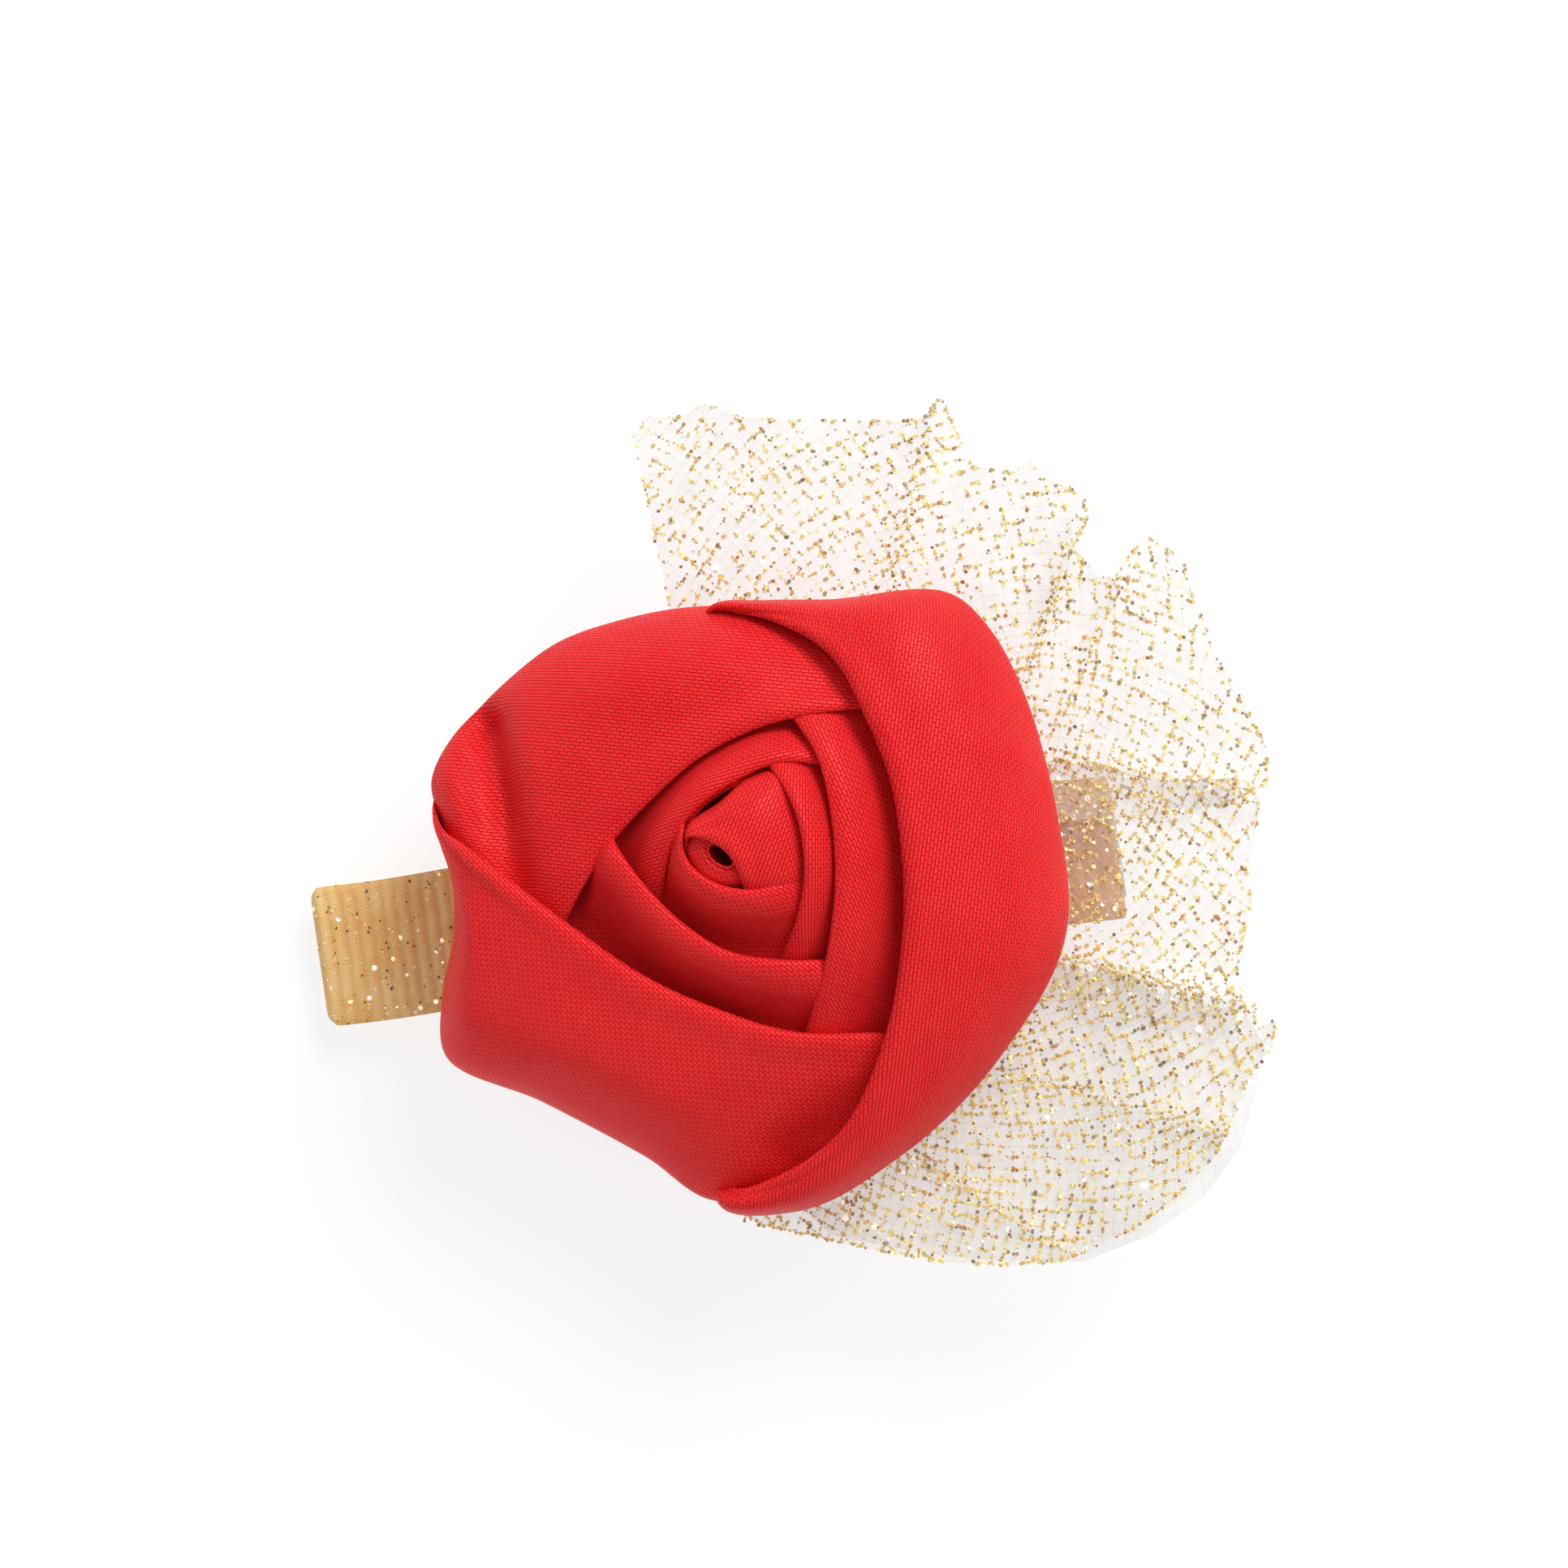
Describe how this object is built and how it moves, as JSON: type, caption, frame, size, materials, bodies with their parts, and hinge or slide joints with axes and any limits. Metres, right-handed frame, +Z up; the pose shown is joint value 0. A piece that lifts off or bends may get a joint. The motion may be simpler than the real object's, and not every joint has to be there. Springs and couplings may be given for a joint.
{
  "type": "flower hair clip",
  "caption": "Hair clip: a folded satin ribbon rosette and a gathered tulle fan glued on a ribbon-lined, spring-closed alligator clip.",
  "frame": {"origin": "on the surface that the clip lies on, under the centre of its bounding box", "axes": "+Z up from that surface, +X along the clip from the jaw tip to the finger lever, +Y across it"},
  "size_m": [0.0682, 0.0624, 0.0256],
  "materials": {
    "satin": "satin weave, soft sheen",
    "tulle": "fine net with gold glitter",
    "glitter_ribbon": "ribbed grosgrain with glitter",
    "felt": "matt felt",
    "hot_glue": "clear hot-melt glue",
    "clip_steel": "nickel-plated sheet steel",
    "spring_wire": "bright drawn wire"
  },
  "bodies": {
    "clip_top": {"upper_arm": "clip_steel", "hinge_pin": "clip_steel", "torsion_spring": "spring_wire", "arm_ribbon": "glitter_ribbon", "arm_glue": "hot_glue", "felt_disc": "felt", "tulle_bottom": "tulle", "tulle_side": "tulle", "tulle_top": "tulle", "rosette_glue": "hot_glue", "rosette_bud": "satin", "fold_outer_right": "satin", "fold_outer_back": "satin", "fold_outer_front": "satin", "fold_middle_right": "satin", "fold_middle_back": "satin", "fold_middle_front": "satin", "fold_inner_right": "satin", "fold_inner_back": "satin", "fold_inner_front": "satin"},
    "lower_jaw": {"lower_arm": "clip_steel"}
  },
  "joints": [
    {"name": "jaw_hinge", "type": "hinge", "parent": "clip_top", "child": "lower_jaw", "pos_m": [0.00519, -0.00335, 0.00636], "axis": [0, -1, 0], "range_deg": [0, 28], "stiffness_Nm_per_rad": 0.03, "springref_deg": -34.38, "deforming": ["torsion_spring"]}
  ]
}
